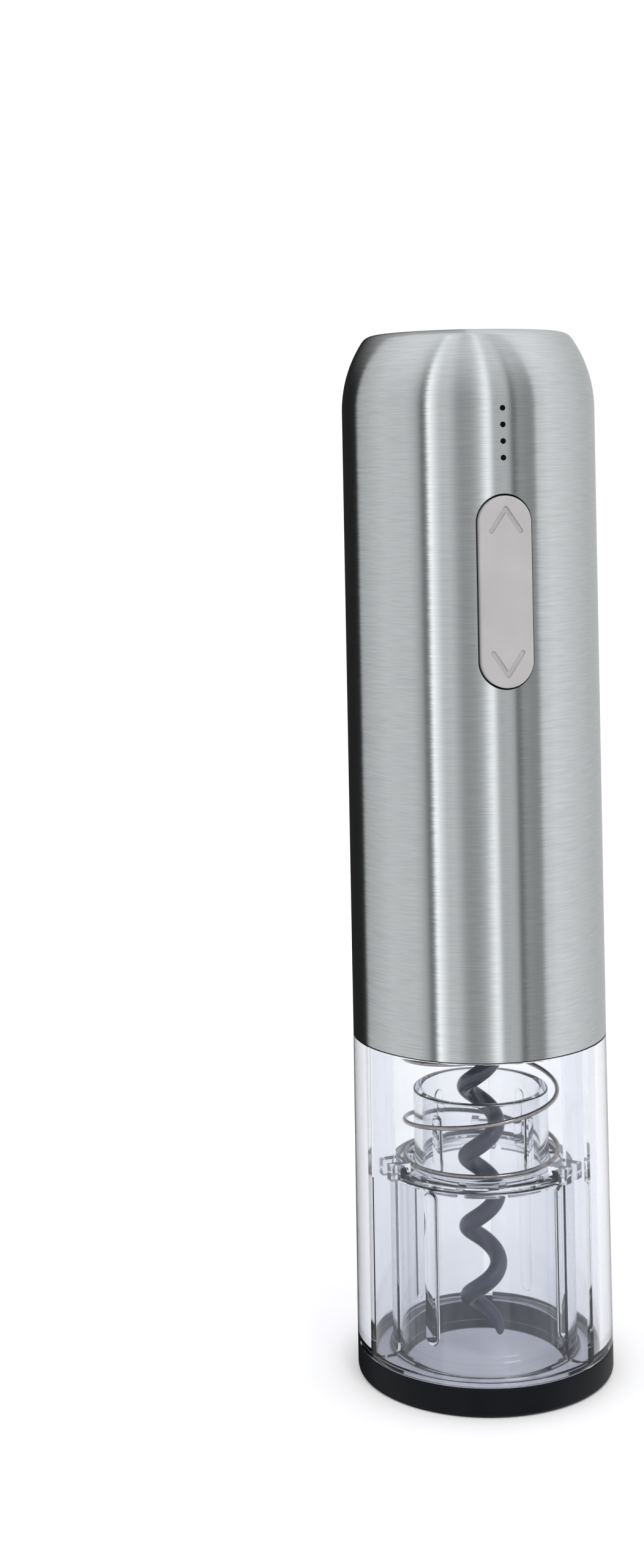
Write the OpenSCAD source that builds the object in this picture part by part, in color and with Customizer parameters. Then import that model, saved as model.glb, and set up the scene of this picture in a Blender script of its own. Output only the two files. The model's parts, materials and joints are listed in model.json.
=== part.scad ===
// Electric wine opener: clear housing, sprung cork sleeve, steel motor unit and worm.
// Origin on the axis at the surface it stands on, +Z up, button facing -Y. Millimetres.

/* [Outer size] */
// Overall height
total_h = 187; // [186.5:0.5:189]
// Outer radius of the steel sleeve and the top of the clear housing
body_r = 22.9; // [22.7:0.1:23.2]
// Outer radius at the foot
foot_r = 23.1; // [23:0.05:23.4]
// Height where the steel sleeve starts
steel_z = 60.7; // [60:0.1:61]
// Height where the steel shoulder starts to curve in
shoulder_z = 173.2; // [173:0.1:174]
// Steel sheet thickness
steel_wall = 0.5; // [0.4:0.05:0.6]
// Height of the black base ring
ring_h = 5.05; // [4.5:0.05:5.5]

/* [Clear housing] */
// Inner radius of the clear outer wall
clear_inner_r = 20.8; // [20.4:0.1:21]
// Radius of the bottle neck opening
neck_r = 15.2; // [15:0.1:15.5]
// Outer radius of the neck guide tube
neck_tube_r = 17; // [16.8:0.1:17.2]
// Height of the neck guide tube
neck_tube_h = 36.5; // [36:0.1:37]
// Number of neck pads
pad_count = 4; // [3:1:6]

/* [Cork sleeve and spring] */
// Outer radius of the collar
collar_r = 12.2; // [12:0.05:12.3]
// Inner radius of the collar
collar_inner_r = 10.7; // [10.6:0.05:11]
// Height of the collar's top
collar_top = 50.5; // [49:0.5:51]
// Flange radius
flange_r = 16.8; // [16.4:0.1:16.8]
// Spring wire diameter
spring_wire = 0.8; // [0.6:0.1:1]
// Spring centre-line radius
spring_r = 13.9; // [13.7:0.05:13.95]

/* [Worm] */
// Height of the worm's tip
tip_z = 6; // [5.5:0.5:8]
// Centre-line radius of the worm
worm_r = 2.75; // [2.5:0.05:3]
// Radius of the worm wire
worm_wire_r = 1.55; // [1.4:0.05:1.55]
// Rise in one turn
worm_pitch = 12.6; // [12:0.1:13]

/* [Rocker button] */
// Width of the button
button_w = 9.3; // [9:0.1:9.5]
// Height of the button
button_h = 33; // [32.6:0.1:34]
// Height of the button's pivot
button_z = 141.5; // [141:0.5:143]
// Gap all round the button
button_gap = 0.35; // [0.3:0.05:0.4]

/* [Gears] */
// Gear module
gear_module = 0.8; // [0.8:0.1:0.8]
// Sun gear teeth
sun_teeth = 12; // [12:1:12]
// Planet gear teeth
planet_teeth = 15; // [15:1:15]
// Play between meshed teeth at the pitch circle
backlash = 0.12; // [0.1:0.01:0.16]

/* [Hidden] */
$fn = 64;

fit = 0.05;          // radial play of a running fit
seat = 0.02;         // play of a pressed or seated joint
open = 0.5;          // how far a cutter runs past a face
root = 0.2;          // how far a rib runs into its wall

// Clear housing and base ring
spigot_r = body_r - steel_wall - 0.15;
spigot_top = 75;
floor_z = 0.5;
floor_top = 5;
ring_wall = 1.3;
lip_reach = 2.7;
rail_w = 1.8;
rail_r = 17.2;
rail_top = 71;
rail_first = 42;
rail_step = 120;
pad_w = 3.2;
pad_in = 0.6;
pad_low = 8.5;
pad_first = -49;

// Cork sleeve
flange_z = neck_tube_h + 0.15;
flange_h = 0.9;
skirt_r = 14.4;
skirt_h = 1.6;
skirt_wall = 1.6;
skirt_notches = 12;
lug_r = 18.9;
lug_h = 2.8;
lug_gap = 0.4;
lug_w = rail_w + 4;
grip_first = -58;
grip_count = 4;
grip_w = 2.6;
grip_in = 0.5;
grip_low = flange_z + 0.3;
grip_high = 47.8;
retainer_z = 72;
retainer_hole_r = 12.9;

// Spring: closed turns at each end, open turns between
spring_low = flange_z + flange_h + spring_wire / 2;
spring_high = retainer_z - spring_wire / 2;
closed_low = 0.7;
closed_high = 1.3;
open_turns = 2.8;
closed_pitch = 0.85;
ramp_turns = 0.5;
spring_start = 355;

// Worm
worm_phase = 164.8;
worm_phase_z = 25.2;
shank_z = 95;
shank_top = 103.6;
straighten = 8;
taper_h = 5.5;

// Motor unit stack, from the bottom up
chassis_low = 76.5;
chassis_high = 172.5;
chassis_r = body_r - steel_wall - 0.1;
chassis_inner_r = 20.8;
bulkhead_low = 98.2;
case_low = 102;
case_high = 117.6;
cover_h = 2.4;
motor_low = case_high + cover_h;
motor_h = 26;
motor_r = 12.2;
motor_screw_x = 8;
terminal_x = 6;
cell_low = 148.5;
cell_h = 35;
cell_r = 9.1;
boss_x = 17.3;
boss_r = 2.5;
boss_reach = 8;
boss_heights = [126, 141, 166];
screw_r = 0.98;
case_screw_r = 10;
grub_z = 98.6;

// Board and button
board_y = -17;
board_h = 1;
axle_y = -20;
axle_r = 0.75;
axle_reach = 7.2;
switch_reach = 12;
switch_w = 4.5;
led_first = 164.5;
led_pitch = 2.85;
led_count = 4;
led_r = 0.5;
socket_y = -14.4;
socket_w = 9;
socket_t = 3.2;

// Gear train
ring_teeth = sun_teeth + 2 * planet_teeth;
planet_count = 3;
centre_r = gear_module * (sun_teeth + planet_teeth) / 2;
gear_h = 4;
pressure_angle = 20;
case_r = 19;
disc_r = 15.4;
planet_pin_r = 1.5;
second_z = 107;
first_z = 113.2;
shaft_r = 4;
motor_shaft_r = 1;
carrier_z = case_low + 2.7;
pin_root_z = case_low + 3.4;

// ---- shared shapes ----

// Places children at an azimuth from -Y towards +X, at radius r
module at_azimuth(a, r = 0) {
  rotate([0, 0, a]) translate([0, -r, 0]) children();
}

module ring(outer, inner, low, high) {
  difference() {
    translate([0, 0, low]) cylinder(r = outer, h = high - low);
    translate([0, 0, low - open]) cylinder(r = inner, h = high - low + 2 * open);
  }
}

// Upright pill outline, w wide and h tall, extruded along Y from y0 to y1
module pill(w, h, y0, y1) {
  straight = (h - w) / 2;
  for (s = [-1, 1]) {
    translate([0, y0, s * straight]) rotate([-90, 0, 0]) cylinder(d = w, h = y1 - y0);
  }
  translate([-w / 2, y0, -straight]) cube([w, y1 - y0, 2 * straight]);
}

// Flat slot lying along X, extruded along Z
module flat_slot(w, t, z0, z1) {
  for (s = [-1, 1]) {
    translate([s * (w - t) / 2, 0, z0]) cylinder(d = t, h = z1 - z0);
  }
  translate([-(w - t) / 2, -t / 2, z0]) cube([w - t, t, z1 - z0]);
}

module half_space(side) {
  big = 2 * total_h;
  translate([-big / 2, side > 0 ? seat : -big - seat, -1]) cube([big, big, big]);
}

// Closed tube along points. A ref is a vector near each ring's first spoke.
module tube(points, radii, refs, sides) {
  n = len(points);
  rings = [
    for (i = [0 : n - 1])
      let (
        along = unit(points[min(i + 1, n - 1)] - points[max(i - 1, 0)]),
        u = unit(refs[i] - (refs[i] * along) * along),
        v = cross(along, u)
      )
      for (k = [0 : sides - 1])
        points[i] + radii[i] * (cos(360 * k / sides) * u + sin(360 * k / sides) * v)
  ];
  walls = [
    for (i = [0 : n - 2], k = [0 : sides - 1])
      let (next = (k + 1) % sides)
      [i * sides + next, i * sides + k, (i + 1) * sides + k, (i + 1) * sides + next]
  ];
  first_cap = [for (k = [0 : sides - 1]) k];
  last_cap = [for (k = [sides - 1 : -1 : 0]) (n - 1) * sides + k];
  polyhedron(rings, concat([first_cap, last_cap], walls), convexity = 10);
}

function unit(v) = v / norm(v);
function spoke(a) = [cos(a), sin(a), 0];
function involute(a) = tan(a) * 180 / PI - a;
function clamp01(x) = max(0, min(1, x));

// Half-angle of a tooth at radius r
function tooth_half(r, teeth, thickness) =
  let (
    pitch_r = gear_module * teeth / 2,
    base_r = pitch_r * cos(pressure_angle),
    at_r = acos(min(1, base_r / max(r, base_r)))
  )
  thickness / pitch_r * 90 / PI + involute(pressure_angle) - involute(at_r);

// Outline of a spur gear: each flank in steps from root to tip
function gear_outline(teeth, root_r, tip_r, thickness, steps = 4) =
  let (
    base_r = gear_module * teeth / 2 * cos(pressure_angle),
    start_r = max(root_r, base_r),
    flank = [for (i = [0 : steps]) start_r + (tip_r - start_r) * i / steps],
    rise = root_r < base_r ? concat([root_r], flank) : flank
  )
  [
    for (t = [0 : teeth - 1], side = [-1, 1], i = [0 : len(rise) - 1])
      let (
        r = side < 0 ? rise[i] : rise[len(rise) - 1 - i],
        a = 360 * t / teeth + side * tooth_half(r, teeth, thickness)
      )
      r * [cos(a), sin(a)]
  ];

module spur_gear(teeth, low, bore_r) {
  pitch_r = gear_module * teeth / 2;
  thickness = PI * gear_module / 2 - backlash / 2;
  difference() {
    translate([0, 0, low]) linear_extrude(gear_h)
      polygon(gear_outline(teeth, pitch_r - 1.2 * gear_module, pitch_r + 0.95 * gear_module, thickness));
    translate([0, 0, low - open]) cylinder(r = bore_r, h = gear_h + 2 * open);
  }
}

module planet(index, low) {
  rotate([0, 0, 360 / planet_count * index]) translate([centre_r, 0, 0])
    spur_gear(planet_teeth, low, planet_pin_r + fit);
}

module planet_pins(low, high) {
  for (i = [0 : planet_count - 1]) {
    rotate([0, 0, 360 / planet_count * i]) translate([centre_r, 0, low])
      cylinder(r = planet_pin_r, h = high - low);
  }
}

// ---- housing ----

module clear_housing() {
  foot_wall_r = foot_r - ring_wall;
  color([0.86, 0.88, 0.93, 0.35]) {
    difference() {
      union() {
        rotate_extrude() polygon([
          [neck_r, floor_z], [foot_wall_r, floor_z], [foot_wall_r, ring_h + fit], [foot_r, ring_h + fit],
          [body_r, steel_z - fit], [spigot_r, steel_z - fit], [spigot_r, spigot_top],
          [clear_inner_r, spigot_top], [clear_inner_r, floor_top], [neck_tube_r, floor_top],
          [neck_tube_r, neck_tube_h], [neck_r, neck_tube_h]
        ]);
        neck_pads();
        guide_rails();
      }
      translate([0, 0, -open]) cylinder(r = neck_r - pad_in, h = neck_tube_h + 2 * open);
    }
  }
}

module neck_pads() {
  pad_h = neck_tube_h - 0.6 - pad_low;
  for (i = [0 : pad_count - 1]) {
    at_azimuth(pad_first + 360 / pad_count * i)
      translate([0, 0, pad_low + pad_h / 2]) pill(pad_w, pad_h, -neck_tube_r + 0.4, -neck_r + pad_in + 0.4);
  }
}

// Upright ribs that join the neck tube to the outer wall and guide the cork sleeve above it
module guide_rails() {
  for (a = [rail_first : rail_step : rail_first + 359]) {
    rotate([90, 0, a - 90]) translate([0, 0, -rail_w / 2]) linear_extrude(rail_w) polygon([
      [neck_tube_r - root, floor_top - root], [clear_inner_r + root, floor_top - root],
      [clear_inner_r + root, rail_top], [rail_r, rail_top],
      [rail_r, neck_tube_h], [neck_tube_r - root, neck_tube_h]
    ]);
  }
}

// Ring round the foot, with a small lip under the clear floor
module base_ring() {
  inner = foot_r - ring_wall + fit;
  edge = 0.6;
  color([0.09, 0.09, 0.11]) rotate_extrude() polygon([
    [foot_r - lip_reach, 0], [foot_r - edge, 0], [foot_r - 0.25, 0.15], [foot_r - 0.05, 0.6],
    [foot_r, 1.4], [foot_r, ring_h], [inner, ring_h], [inner, floor_z - fit],
    [foot_r - lip_reach, floor_z - fit]
  ]);
}

module spring_retainer() {
  color([0.8, 0.8, 0.84]) ring(clear_inner_r - seat, retainer_hole_r, retainer_z, spigot_top);
}

// Height gained by a spring that closes, opens over a ramp, and closes again
function ramp_part(t, from) = let (x = clamp01((t - from) / ramp_turns)) x * x / 2 * ramp_turns
  + max(0, t - from - ramp_turns);
function open_share(t) = ramp_part(t, closed_low) - ramp_part(t, closed_low + open_turns);

module return_spring() {
  turns = closed_low + open_turns + ramp_turns + closed_high;
  steps_per_turn = 24;
  count = round(turns * steps_per_turn);
  closed_rise = closed_pitch * turns;
  stretch = (spring_high - spring_low - closed_rise) / open_share(turns);
  angles = [for (i = [0 : count]) spring_start + 360 * turns * i / count];
  points = [
    for (i = [0 : count])
      let (t = turns * i / count)
      spring_r * spoke(angles[i]) + [0, 0, spring_low + closed_pitch * t + stretch * open_share(t)]
  ];
  color([0.55, 0.53, 0.52])
    tube(points, [for (i = [0 : count]) spring_wire / 2], [for (a = angles) spoke(a)], 8);
}

// ---- carriage ----

module cork_sleeve() {
  edge = 0.2;
  color([0.88, 0.89, 0.94, 0.35]) {
    rotate_extrude() polygon([
      [collar_inner_r, flange_z], [flange_r - edge, flange_z], [flange_r, flange_z + edge],
      [flange_r, flange_z + flange_h - edge], [flange_r - edge, flange_z + flange_h],
      [collar_r, flange_z + flange_h], [collar_r, collar_top - edge], [collar_r - edge, collar_top],
      [collar_inner_r + edge, collar_top], [collar_inner_r, collar_top - edge]
    ]);
    notched_skirt();
    for (a = [rail_first : rail_step : rail_first + 359]) {
      at_azimuth(a) sleeve_lug();
    }
    for (i = [0 : grip_count - 1]) {
      at_azimuth(grip_first + 360 / grip_count * i) translate([0, 0, (grip_low + grip_high) / 2])
        pill(grip_w, grip_high - grip_low, -collar_inner_r - root, -collar_inner_r + grip_in);
    }
  }
}

// Short castellated skirt that centres the sleeve in the neck tube
module notched_skirt() {
  notch_w = 1.4;
  difference() {
    ring(skirt_r, skirt_r - skirt_wall, flange_z - skirt_h, flange_z + root);
    for (i = [0 : skirt_notches - 1]) {
      at_azimuth(360 / skirt_notches * i)
        translate([-notch_w / 2, -skirt_r - open, flange_z - skirt_h - open])
        cube([notch_w, skirt_wall + 2 * open, skirt_h + open - 0.3]);
    }
  }
}

// Fork that straddles a guide rail and stops the sleeve turning
module sleeve_lug() {
  difference() {
    translate([-lug_w / 2, -lug_r, flange_z + 0.1]) cube([lug_w, lug_r - flange_r + 1.4, lug_h]);
    translate([-rail_w / 2 - lug_gap, -lug_r - open, flange_z - open])
      cube([rail_w + 2 * lug_gap, lug_r + open - rail_r + lug_gap, lug_h + 2 * open]);
  }
}

// ---- motor unit ----

// Straight sleeve that ends in a ball-shaped shoulder, cut flat on top
module shell_form(r, low, high) {
  translate([0, 0, low]) cylinder(r = r, h = shoulder_z - low);
  intersection() {
    translate([0, 0, shoulder_z]) sphere(r = r, $fn = 96);
    translate([-r, -r, shoulder_z - 1]) cube([2 * r, 2 * r, high - shoulder_z + 1]);
  }
}

module steel_shell() {
  color([0.68, 0.71, 0.71]) difference() {
    shell_form(body_r, steel_z, total_h);
    shell_form(body_r - steel_wall, steel_z - open, total_h - steel_wall);
    translate([0, 0, button_z])
      pill(button_w + 2 * button_gap, button_h + 2 * button_gap, -body_r - 1, -body_r + 4);
    for (i = [0 : led_count - 1]) {
      translate([0, -body_r - 1, led_first + led_pitch * i]) rotate([-90, 0, 0]) cylinder(r = led_r, h = 4);
    }
    translate([0, socket_y, 0]) flat_slot(socket_w + 0.4, socket_t + 0.4, total_h - 2, total_h + 1);
  }
}

module chassis_body() {
  web_l = 4;
  difference() {
    union() {
      ring(chassis_r, chassis_inner_r, chassis_low, chassis_high);
      ring(chassis_inner_r + 0.2, 7.2, bulkhead_low, case_low - 0.1);
      for (x = [-boss_x, boss_x], z = boss_heights) {
        translate([x, -boss_reach, z]) rotate([-90, 0, 0]) cylinder(r = boss_r, h = 2 * boss_reach);
        translate([x > 0 ? x : x - web_l, -boss_reach, z - 1]) cube([web_l, 2 * boss_reach, 2]);
      }
    }
    for (x = [-boss_x, boss_x], z = boss_heights) {
      translate([x, -7, z]) rotate([-90, 0, 0]) cylinder(r = screw_r + seat, h = 20);
      translate([x, 6, z]) rotate([-90, 0, 0]) cylinder(r = 2.1, h = 20);
    }
    for (i = [0 : 2]) {
      at_azimuth(120 * i + 60, case_screw_r)
        translate([0, 0, bulkhead_low - open]) cylinder(r = screw_r + 0.1, h = 6);
    }
    difference() {
      translate([0, 0, chassis_low - 1]) cylinder(r = body_r + 3, h = 200);
      translate([0, 0, chassis_low - 2]) cylinder(r = chassis_r, h = 202);
    }
  }
}

module chassis_front() {
  window_w = button_w + 1.4;
  ear_x = window_w / 2 + 0.1;
  color([0.2, 0.2, 0.22]) difference() {
    union() {
      difference() {
        intersection() {
          chassis_body();
          half_space(-1);
        }
        translate([0, 0, button_z]) pill(window_w, button_h + 1.6, -body_r - 1, -16);
        translate([-3, -body_r - 1, led_first - 2]) cube([6, 6, 20]);
      }
      for (side = [-1, 1]) {
        translate([side > 0 ? ear_x : -ear_x - 2, -21, button_z - 3]) cube([2, 2.8, 6]);
      }
    }
    translate([-axle_reach - 0.1, axle_y, button_z]) rotate([0, 90, 0])
      cylinder(r = axle_r + seat, h = 2 * axle_reach + 0.2);
  }
}

module chassis_rear() {
  color([0.2, 0.2, 0.22]) intersection() {
    chassis_body();
    half_space(1);
  }
}

// Pan-head screw, head at the origin, shank along +Z
module small_screw(length, head_r = 1.8, head_h = 1.2) {
  translate([0, 0, -head_h]) difference() {
    cylinder(r = head_r, h = head_h);
    for (a = [0, 90]) {
      rotate([0, 0, a]) translate([-0.2, -1.1, -open]) cube([0.4, 2.2, open + 0.6]);
    }
  }
  cylinder(r = screw_r, h = length);
}

module chassis_screws() {
  color([0.7, 0.7, 0.72]) for (x = [-boss_x, boss_x], z = boss_heights) {
    translate([x, 6, z]) rotate([90, 0, 0]) small_screw(12);
  }
}

module gearbox_case() {
  ring_pitch_r = gear_module * ring_teeth / 2;
  ring_tip_r = ring_pitch_r - 0.9 * gear_module;
  ring_root_r = ring_pitch_r + 1.2 * gear_module;
  space = PI * gear_module / 2 + backlash / 2;
  color([0.85, 0.85, 0.82]) difference() {
    translate([0, 0, case_low]) cylinder(r = case_r, h = case_high - case_low);
    translate([0, 0, case_low + 2.5]) linear_extrude(20)
      polygon(gear_outline(ring_teeth, ring_tip_r, ring_root_r, space));
    translate([0, 0, case_low - open]) cylinder(r = 6.5, h = 5);
    for (i = [0 : 2]) {
      at_azimuth(120 * i + 60, case_screw_r)
        translate([0, 0, case_low - open]) cylinder(r = screw_r + seat, h = 2.3);
    }
  }
}

module gearbox_cover() {
  color([0.85, 0.85, 0.82]) difference() {
    ring(case_r, 4.2, case_high, motor_low);
    for (x = [-motor_screw_x, motor_screw_x]) {
      translate([x, 0, case_high - open]) cylinder(r = screw_r + 0.1, h = 5);
      translate([x, 0, case_high - open]) cylinder(r = 2, h = open + 1.2);
    }
  }
}

module gearbox_screws() {
  color([0.7, 0.7, 0.72]) for (i = [0 : 2]) {
    at_azimuth(120 * i + 60, case_screw_r) translate([0, 0, bulkhead_low]) small_screw(5.4);
  }
}

module output_bush() {
  color([0.72, 0.55, 0.3]) ring(6.5 - seat, shaft_r + fit, case_low, case_low + 2.5);
}

module motor_can() {
  color([0.75, 0.76, 0.78]) difference() {
    union() {
      translate([0, 0, motor_low]) cylinder(r = motor_r, h = motor_h - 3);
      translate([0, 0, motor_low - 2]) cylinder(r = 4, h = 2.1);
    }
    translate([0, 0, motor_low - 3]) cylinder(r = motor_shaft_r + fit, h = motor_h);
    for (x = [-motor_screw_x, motor_screw_x]) {
      translate([x, 0, motor_low - open]) cylinder(r = screw_r + seat, h = 4);
    }
  }
}

module motor_end_cap() {
  cap_low = motor_low + motor_h - 3;
  color([0.9, 0.88, 0.82]) difference() {
    union() {
      translate([0, 0, cap_low]) cylinder(r = motor_r - 0.4, h = 2.2);
      for (x = [-terminal_x, terminal_x]) {
        translate([x - 1, -0.2, cap_low + 2]) cube([2, 0.4, 2.2]);
      }
    }
    translate([0, 0, cap_low - 1]) cylinder(r = motor_shaft_r + fit, h = 2);
  }
}

module motor_screws() {
  color([0.7, 0.7, 0.72]) for (x = [-motor_screw_x, motor_screw_x]) {
    translate([x, 0, case_high + 1.2]) small_screw(4.6, 1.7, 1);
  }
}

// One insulated wire along hand-chosen corners
module lead(points, r = 0.5) {
  tube(points, [for (p = points) r], [for (p = points) [1, 0, 0.02]], 8);
}

module motor_leads() {
  z = motor_low + motor_h;
  color([0.75, 0.1, 0.1]) for (x = [-terminal_x, terminal_x]) {
    lead([
      [x, -0.8, z + 0.4], [x, -2.4, z + 0.6], [x, -6, z + 0.8], [x, -9.6, z + 0.7],
      [x, -12, z + 0.1], [x, -13.6, z - 1.2], [x, -14.8, z - 1.9], [x, board_y + board_h + 0.05, z - 2]
    ]);
  }
}

module battery_cradle() {
  color([0.2, 0.2, 0.22]) difference() {
    union() {
      ring(cell_r + 1.6, cell_r + 0.1, cell_low - 0.9, cell_low + 22);
      ring(cell_r + 1.6, 5, cell_low - 0.9, cell_low - 0.5);
      for (a = [90, 180, 270]) {
        at_azimuth(a, chassis_inner_r - 0.1)
          translate([-1, 0, cell_low]) cube([2, chassis_inner_r - cell_r - 1.4, 10]);
      }
    }
    translate([-2.4, -cell_r - 3, cell_low - 0.6]) cube([4.8, 5, 2]);
  }
}

module battery_cell() {
  color([0.15, 0.35, 0.6]) {
    translate([0, 0, cell_low]) cylinder(r = cell_r, h = cell_h);
  }
}

module battery_tabs() {
  tab_y = board_y + board_h + 0.02;
  color([0.8, 0.8, 0.78]) {
    translate([-2, -3, cell_low + cell_h + 0.02]) cube([9.4, 6, 0.3]);
    translate([5.2, tab_y, cell_low + cell_h + 0.02]) cube([2.2, 1 - tab_y, 0.3]);
    translate([5.2, tab_y, cell_low + cell_h - 5]) cube([2.2, 0.3, 5.1]);
    translate([-2, tab_y, cell_low - 0.4]) cube([4, -tab_y + 3, 0.3]);
    translate([-2, tab_y, cell_low - 0.4]) cube([4, 0.3, 5]);
  }
}

module circuit_board() {
  color([0.1, 0.35, 0.2]) translate([-8, board_y, 120.5]) cube([16, board_h, 64]);
}

module switches() {
  color([0.15, 0.15, 0.16]) for (side = [-1, 1]) {
    translate([-switch_w / 2, board_y - 1.8, button_z + side * switch_reach - switch_w / 2])
      cube([switch_w, 1.8, switch_w]);
    translate([0, board_y - 2.3, button_z + side * switch_reach]) rotate([-90, 0, 0]) cylinder(r = 1, h = 1);
  }
}

module status_leds() {
  color([0.9, 0.9, 0.8]) for (i = [0 : led_count - 1]) {
    translate([-0.8, board_y - 0.6, led_first + led_pitch * i - 0.4]) cube([1.6, 0.6, 0.8]);
  }
}

module light_guide() {
  length = led_pitch * (led_count - 1) + 3;
  color([0.05, 0.05, 0.06]) {
    translate([-2.2, -20.4, led_first - 1.5]) cube([4.4, 1.2, length]);
    for (i = [0 : led_count - 1]) {
      translate([0, -body_r + 0.06, led_first + led_pitch * i]) rotate([-90, 0, 0])
        cylinder(r = led_r - seat, h = 3);
    }
    for (x = [-2.2, 1.4]) {
      translate([x, -19.4, led_first - 1.5]) cube([0.8, 19.4 + board_y, 1.2]);
    }
  }
}

module charge_socket() {
  wall = 0.3;
  color([0.7, 0.7, 0.72]) translate([0, socket_y, 0]) {
    difference() {
      flat_slot(socket_w, socket_t, 179, total_h - 0.1);
      flat_slot(socket_w - 2 * wall, socket_t - 2 * wall, 180, total_h + 1);
    }
    translate([-3.3, -0.35, 179.5]) cube([6.6, 0.7, 6.5]);
  }
}

module button_axle() {
  color([0.7, 0.7, 0.72]) translate([-axle_reach, axle_y, button_z]) rotate([0, 90, 0])
    cylinder(r = axle_r, h = 2 * axle_reach);
}

// ---- rocker ----

// Cutter for one arrow: two round-ended strokes that meet in a point
module chevron(direction) {
  stroke_w = 1;
  stroke_l = 5.1;
  lean = 35.5;
  half_run = (stroke_l - stroke_w) / 2;
  for (side = [-1, 1]) {
    translate([0, 0, direction * half_run]) rotate([0, side * lean, 0])
      translate([0, 0, -direction * half_run]) pill(stroke_w, stroke_l, -24.2, -23.5);
  }
}

module rocker_button() {
  crown_r = 42;
  face_y = 23.7;
  back_y = 20.8;
  arrow_reach = 12.4;
  color([0.75, 0.74, 0.75]) difference() {
    union() {
      intersection() {
        translate([0, 0, button_z]) pill(button_w, button_h, -face_y - 1, -back_y);
        translate([0, crown_r - face_y, button_z - button_h])
          cylinder(r = crown_r, h = 2 * button_h, $fn = 128);
      }
      translate([-3, -back_y - 0.1, button_z - 2]) cube([6, 1.9, 4]);
      for (side = [-1, 1]) {
        translate([0, -back_y - 0.1, button_z + side * switch_reach]) rotate([-90, 0, 0])
          cylinder(r = 1.2, h = 1.1);
      }
    }
    translate([-5, axle_y, button_z]) rotate([0, 90, 0]) cylinder(r = axle_r + fit, h = 10);
    translate([0, 0, button_z + arrow_reach]) chevron(1);
    translate([0, 0, button_z - arrow_reach]) chevron(-1);
  }
}

// ---- worm drive ----

module worm() {
  steps_per_turn = 22;
  tip_r = 0.15;
  count = round((shank_z - tip_z) / worm_pitch * steps_per_turn);
  coil_heights = [for (i = [0 : count]) tip_z + (shank_z - tip_z) * i / count];
  heights = concat(coil_heights, [shank_top]);
  angles = [for (z = heights) worm_phase + 360 * (z - worm_phase_z) / worm_pitch];
  swing = [
    for (z = heights)
      let (x = clamp01((shank_z - z) / straighten))
      worm_r * x * x * (3 - 2 * x)
  ];
  radii = [
    for (z = heights)
      let (x = clamp01((z - tip_z) / taper_h))
      tip_r + (worm_wire_r - tip_r) * sqrt(x * (2 - x))
  ];
  points = [for (i = [0 : len(heights) - 1]) swing[i] * spoke(angles[i]) + [0, 0, heights[i]]];
  color([0.22, 0.23, 0.27]) tube(points, radii, [for (a = angles) spoke(a)], 14);
}

module worm_holder() {
  color([0.6, 0.6, 0.62]) difference() {
    ring(6.3, shaft_r + seat, 95.5, case_low - 0.2);
    translate([2, 0, grub_z]) rotate([0, 90, 0]) cylinder(r = 1.25, h = 8);
  }
}

module grub_screw() {
  color([0.25, 0.25, 0.27]) difference() {
    translate([1.6, 0, grub_z]) rotate([0, 90, 0]) cylinder(r = 1.22, h = 4.6);
    translate([4.8, 0, grub_z]) rotate([0, 90, 0]) cylinder(r = 0.65, h = 3, $fn = 6);
  }
}

module output_carrier() {
  color([0.62, 0.62, 0.6]) difference() {
    union() {
      translate([0, 0, 95.6]) cylinder(r = shaft_r, h = 10);
      translate([0, 0, carrier_z]) cylinder(r = disc_r, h = 2);
    }
    translate([0, 0, 95]) cylinder(r = 1.6, h = 8.8);
    translate([1, 0, grub_z]) rotate([0, 90, 0]) cylinder(r = 1.25, h = 8);
    planet_pins(pin_root_z, second_z);
  }
}

module output_pins() {
  color([0.75, 0.75, 0.77]) planet_pins(pin_root_z, second_z + gear_h + 0.1);
}

module second_planet(index) {
  color([0.93, 0.9, 0.8]) planet(index, second_z);
}

module second_planet_a() {
  second_planet(0);
}

module second_planet_b() {
  second_planet(1);
}

module second_planet_c() {
  second_planet(2);
}

module first_carrier() {
  disc_z = second_z + gear_h + 0.4;
  color([0.62, 0.62, 0.6]) difference() {
    translate([0, 0, disc_z]) cylinder(r = disc_r, h = 1.5);
    translate([0, 0, disc_z - 1]) cylinder(r = 1.6 + seat, h = 5);
    planet_pins(disc_z - 1, disc_z + 8);
  }
}

module second_sun() {
  color([0.75, 0.7, 0.5]) {
    spur_gear(sun_teeth, second_z, 0.6);
    translate([0, 0, second_z + gear_h - 0.1]) ring(1.6, 0.6, 0, 1.9);
  }
}

module first_pins() {
  color([0.75, 0.75, 0.77]) planet_pins(second_z + gear_h + 0.45, first_z + gear_h + 0.1);
}

module first_planet(index) {
  color([0.93, 0.9, 0.8]) planet(index, first_z);
}

module first_planet_a() {
  first_planet(0);
}

module first_planet_b() {
  first_planet(1);
}

module first_planet_c() {
  first_planet(2);
}

module motor_shaft() {
  shaft_top = motor_low + motor_h - 2.2;
  color([0.8, 0.8, 0.82]) translate([0, 0, first_z])
    cylinder(r = motor_shaft_r, h = shaft_top - first_z);
}

module motor_pinion() {
  color([0.75, 0.7, 0.5]) spur_gear(sun_teeth, first_z, motor_shaft_r + seat);
}

clear_housing();
base_ring();
spring_retainer();
return_spring();
cork_sleeve();
steel_shell();
chassis_front();
chassis_rear();
chassis_screws();
gearbox_case();
gearbox_cover();
gearbox_screws();
output_bush();
motor_can();
motor_end_cap();
motor_screws();
motor_leads();
battery_cradle();
battery_cell();
battery_tabs();
circuit_board();
switches();
status_leds();
light_guide();
charge_socket();
button_axle();
rocker_button();
worm();
worm_holder();
grub_screw();
output_carrier();
output_pins();
second_planet_a();
second_planet_b();
second_planet_c();
first_carrier();
second_sun();
first_pins();
first_planet_a();
first_planet_b();
first_planet_c();
motor_shaft();
motor_pinion();
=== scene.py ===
"""Electric wine opener: fine meshes, materials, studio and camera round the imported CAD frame."""

import json
import math

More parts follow.
